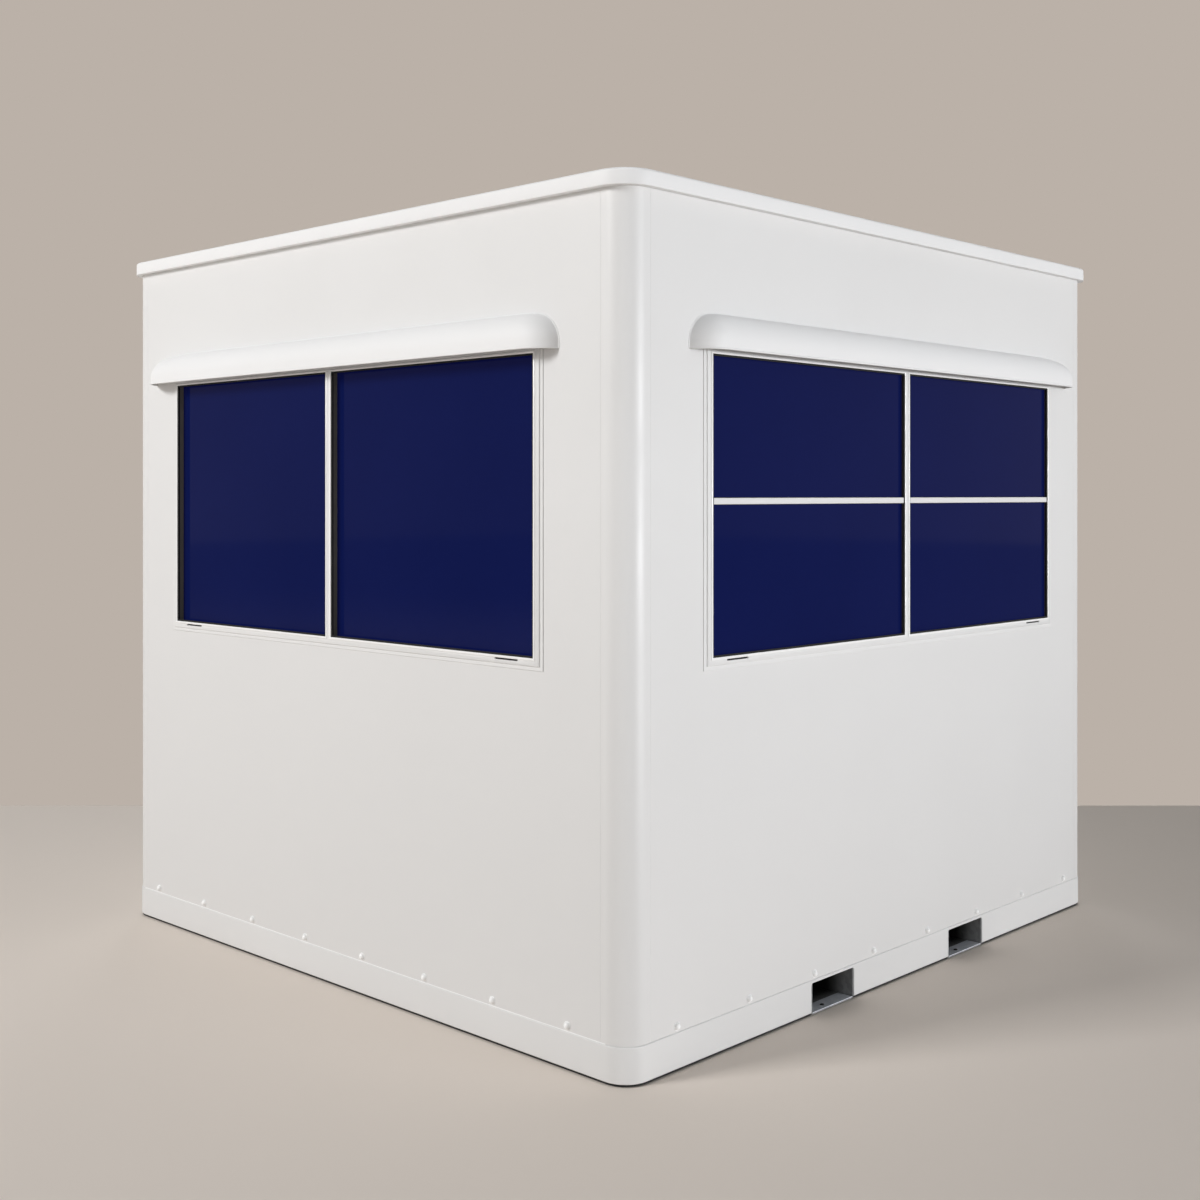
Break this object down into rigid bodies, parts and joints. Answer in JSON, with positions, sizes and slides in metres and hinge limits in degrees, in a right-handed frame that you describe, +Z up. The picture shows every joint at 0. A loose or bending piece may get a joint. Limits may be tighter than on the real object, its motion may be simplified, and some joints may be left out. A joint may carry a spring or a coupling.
{
  "type": "office pod",
  "caption": "White cabin-style office pod with rounded corner posts, wide navy-glazed windows under bowed hoods, a rimmed roof cap and a steel base with fork pockets.",
  "frame": {"origin": "middle of the pod's plan on the ground, at the bottom centre of its box", "axes": "+Z up, -Y the front with the two-pane window, +X the right side with the fork pockets and the four-pane window, +Y the rear with the door"},
  "size_m": [2.61, 2.7, 2.4],
  "materials": {
    "panel_white": "smooth satin white paint on steel-faced panels",
    "skirt_paint": "satin white paint on bent steel",
    "moulded_white": "glossy white moulding",
    "window_frame_white": "satin white powder coat",
    "navy_glass": "dark navy tinted sealed units",
    "galvanised_steel": "dull galvanised steel",
    "floor_covering": "grey sheet vinyl on boards",
    "satin_steel": "satin stainless steel",
    "black_rubber": "matt black rubber gaskets, seals and plastic liners",
    "bronze_anodised": "dull grey-bronze glazing spacers"
  },
  "bodies": {
    "root": {"skirt_front": "skirt_paint", "skirt_rear": "skirt_paint", "skirt_right": "skirt_paint", "skirt_left": "skirt_paint", "skirt_corners": "skirt_paint", "fork_tube_front": "galvanised_steel", "fork_tube_rear": "galvanised_steel", "floor_joists": "galvanised_steel", "floor_deck": "floor_covering", "corner_post_front_right": "panel_white", "corner_post_front_left": "panel_white", "corner_post_rear_right": "panel_white", "corner_post_rear_left": "panel_white", "front_wall": "panel_white", "right_wall": "panel_white", "left_wall": "panel_white", "rear_wall_left": "panel_white", "rear_wall_right": "panel_white", "rear_wall_over_door": "panel_white", "ceiling": "panel_white", "roof_panel": "panel_white", "roof_cap": "moulded_white", "front_window_frame": "window_frame_white", "front_window_glass": "navy_glass", "front_window_hood": "moulded_white", "right_window_frame": "window_frame_white", "right_window_glass": "navy_glass", "right_window_hood": "moulded_white", "left_window_frame": "window_frame_white", "left_window_glass": "navy_glass", "left_window_hood": "moulded_white", "door_frame": "window_frame_white", "door_threshold": "satin_steel", "door_leaf": "panel_white", "door_glass": "navy_glass", "door_glass_trim": "window_frame_white", "door_handle": "satin_steel", "door_hinges": "satin_steel", "rear_door_hood": "moulded_white"}
  },
  "joints": []
}
